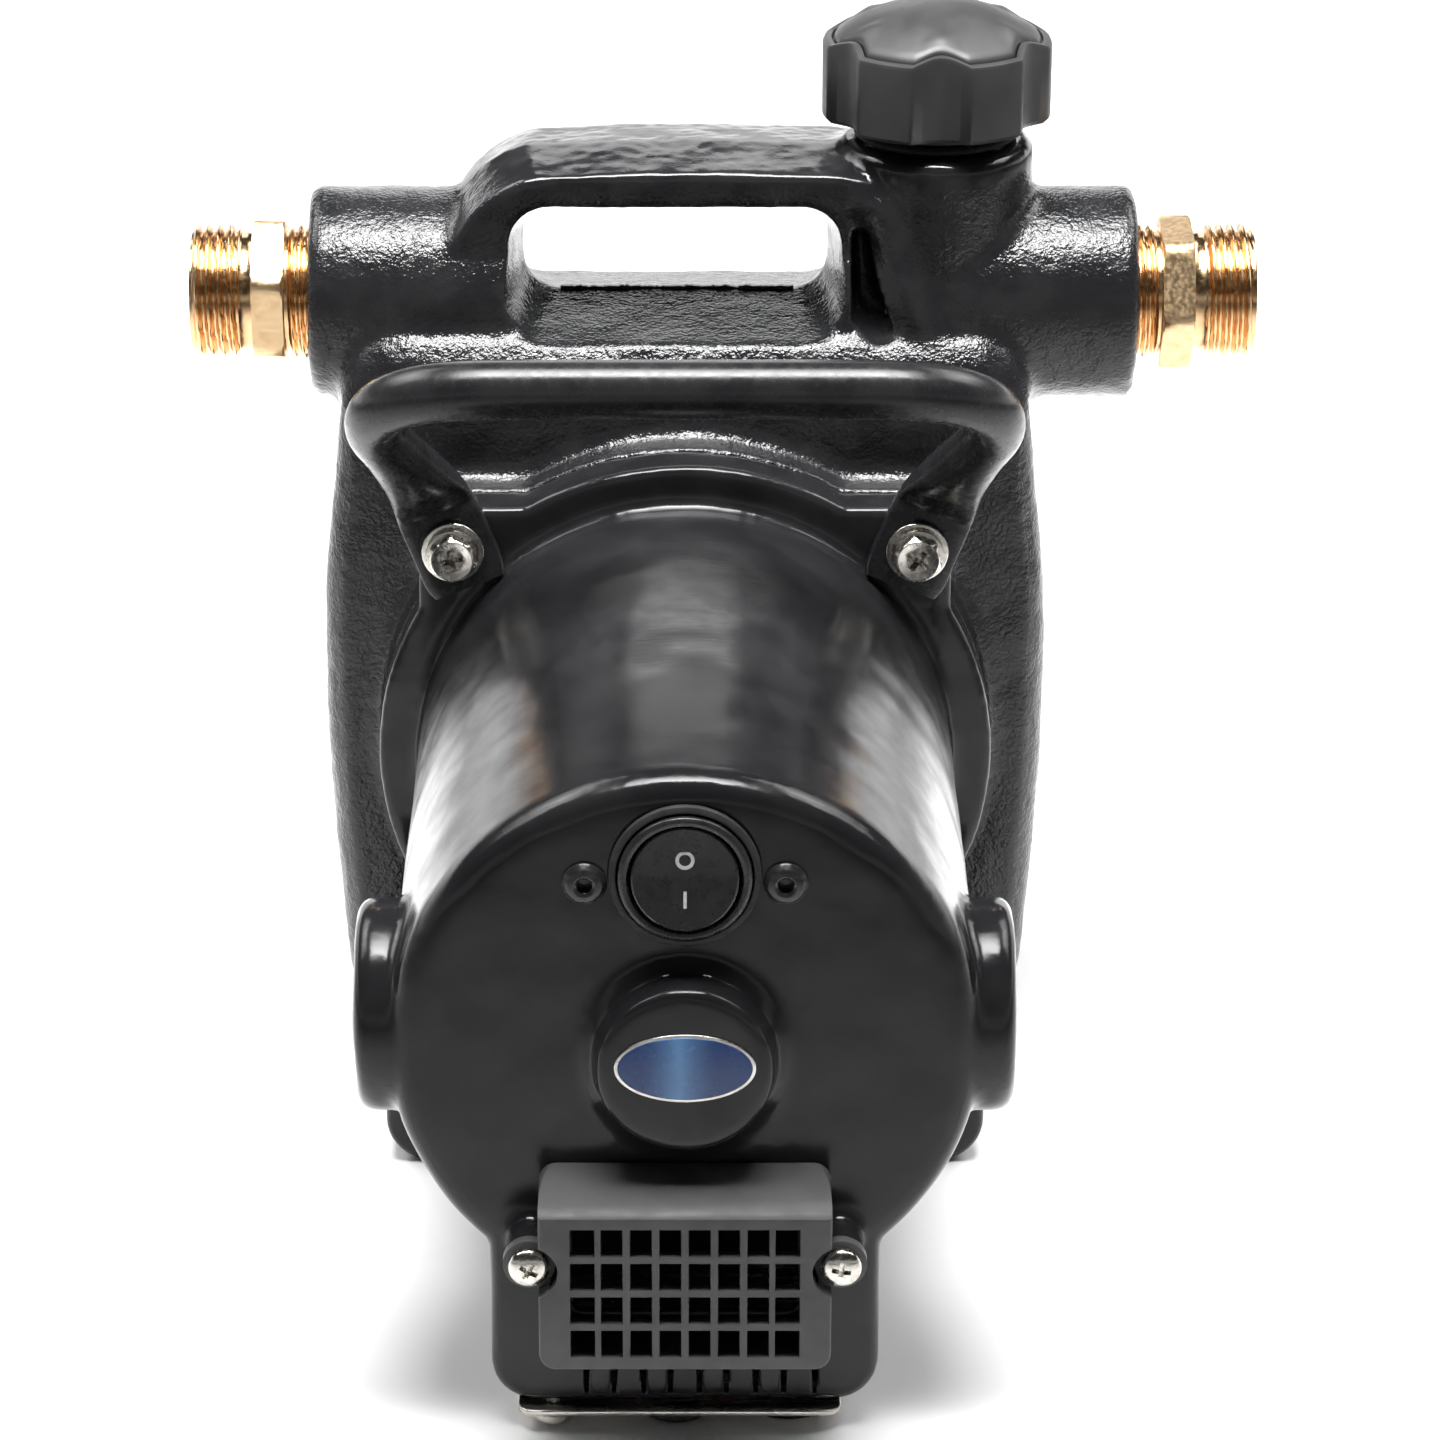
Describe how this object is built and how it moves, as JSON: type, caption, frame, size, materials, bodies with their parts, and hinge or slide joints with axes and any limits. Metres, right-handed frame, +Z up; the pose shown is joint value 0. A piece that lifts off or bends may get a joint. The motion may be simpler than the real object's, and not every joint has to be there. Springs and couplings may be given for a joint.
{
  "type": "shallow well jet pump",
  "caption": "Portable cast-iron water transfer pump with a brushed motor, carry handle, priming plug, rocker switch and brass hose-thread ports.",
  "frame": {"origin": "on the ground under the casting's foot, below the port line and the motor axis", "axes": "+Z up, +Y from the motor towards the back of the casing, +X towards the discharge port"},
  "size_m": [0.2104, 0.2575, 0.2155],
  "materials": {
    "cast_iron": "glossy black enamel over a rough sand casting",
    "die_cast": "semi-gloss black paint with fine orange peel",
    "coated_tube": "satin black coating",
    "brass": "machined",
    "knob_plastic": "fine matt moulding",
    "grille_plastic": "matt moulding",
    "switch_plastic": "smooth",
    "rubber": "matt",
    "bright_steel": "nickel plated",
    "black_steel": "black zinc",
    "shaft_steel": "ground",
    "laminations": "stacked sheet",
    "copper": "enamelled copper",
    "carbon": "graphite",
    "seal_ceramic": "lapped",
    "natural_plastic": "natural",
    "bracket_aluminium": "as cast"
  },
  "bodies": {
    "pump": {"pump_casing": "cast_iron", "suction_adapter": "brass", "discharge_adapter": "brass", "check_valve_seat": "natural_plastic", "suction_tube": "natural_plastic", "jet_body": "natural_plastic", "jet_nozzle": "brass", "venturi_tube": "natural_plastic", "diffuser": "natural_plastic", "casing_gasket": "rubber", "drain_plug": "brass", "motor_housing": "die_cast", "seal_bracket": "bracket_aluminium", "seal_seat": "seal_ceramic", "front_bearing": "shaft_steel", "rear_bearing": "shaft_steel", "stator_core": "laminations", "field_coil_upper": "copper", "field_coil_lower": "copper", "brush_holder_left": "brass", "brush_holder_right": "brass", "brush_spring_left": "shaft_steel", "brush_spring_right": "shaft_steel", "brush_cap_left": "grille_plastic", "brush_cap_right": "grille_plastic", "switch_seal": "rubber", "switch_body": "switch_plastic", "rivet_left": "black_steel", "rivet_right": "black_steel", "vent_grille": "grille_plastic", "grille_screw_left": "bright_steel", "grille_screw_right": "bright_steel", "base_plate": "bright_steel", "plate_screw": "bright_steel", "rubber_foot": "rubber", "cord_gland": "grille_plastic", "motor_foot": "die_cast", "carry_handle": "coated_tube", "handle_screw_left": "bright_steel", "handle_screw_right": "bright_steel", "handle_washer_left": "bright_steel", "handle_washer_right": "bright_steel", "flange_screw_left": "black_steel", "flange_screw_right": "black_steel"},
    "rotor": {"rotor_shaft": "shaft_steel", "rotor_core": "laminations", "rotor_winding": "copper", "commutator": "copper", "cooling_fan": "grille_plastic", "impeller": "brass", "impeller_nut": "brass", "seal_head": "carbon", "seal_spring": "shaft_steel"},
    "rocker": {"switch_rocker": "switch_plastic"},
    "plug_carrier": {"fill_plug_o_ring": "rubber"},
    "plug_knob": {"fill_plug": "knob_plastic", "fill_plug_insert": "knob_plastic"},
    "flap": {"check_valve_flap": "rubber"},
    "brush_left": {"carbon_brush_left": "carbon"},
    "brush_right": {"carbon_brush_right": "carbon"}
  },
  "joints": [
    {"name": "rotor_spin", "type": "hinge", "parent": "pump", "child": "rotor", "pos_m": [0, -0.1, 0.075], "axis": [0, 1, 0], "continuous": true},
    {"name": "switch_rock", "type": "hinge", "parent": "pump", "child": "rocker", "pos_m": [0, -0.178, 0.1094], "axis": [1, 0, 0], "range_deg": [0, 14]},
    {"name": "fill_plug_lift", "type": "slide", "parent": "pump", "child": "plug_carrier", "axis": [0, 0, 1], "range_m": [0, 0.0151]},
    {"name": "fill_plug_turn", "type": "hinge", "parent": "plug_carrier", "child": "plug_knob", "pos_m": [0.0493, 0, 0.188], "axis": [0, 0, 1], "range_deg": [0, 2160]},
    {"name": "check_flap_swing", "type": "hinge", "parent": "pump", "child": "flap", "pos_m": [-0.0556, 0, 0.1643], "axis": [0, -1, 0], "range_deg": [0, 60]},
    {"name": "brush_left_slide", "type": "slide", "parent": "pump", "child": "brush_left", "axis": [-1, 0, 0], "range_m": [0, 0.006], "stiffness_N_per_m": 200, "springref_m": -0.0075, "deforming": ["brush_spring_left"]},
    {"name": "brush_right_slide", "type": "slide", "parent": "pump", "child": "brush_right", "axis": [1, 0, 0], "range_m": [0, 0.006], "stiffness_N_per_m": 200, "springref_m": -0.0075, "deforming": ["brush_spring_right"]}
  ],
  "couplings": [
    {"joint": "fill_plug_lift", "follows": "fill_plug_turn", "m_per_rad": 0.00039789}
  ]
}
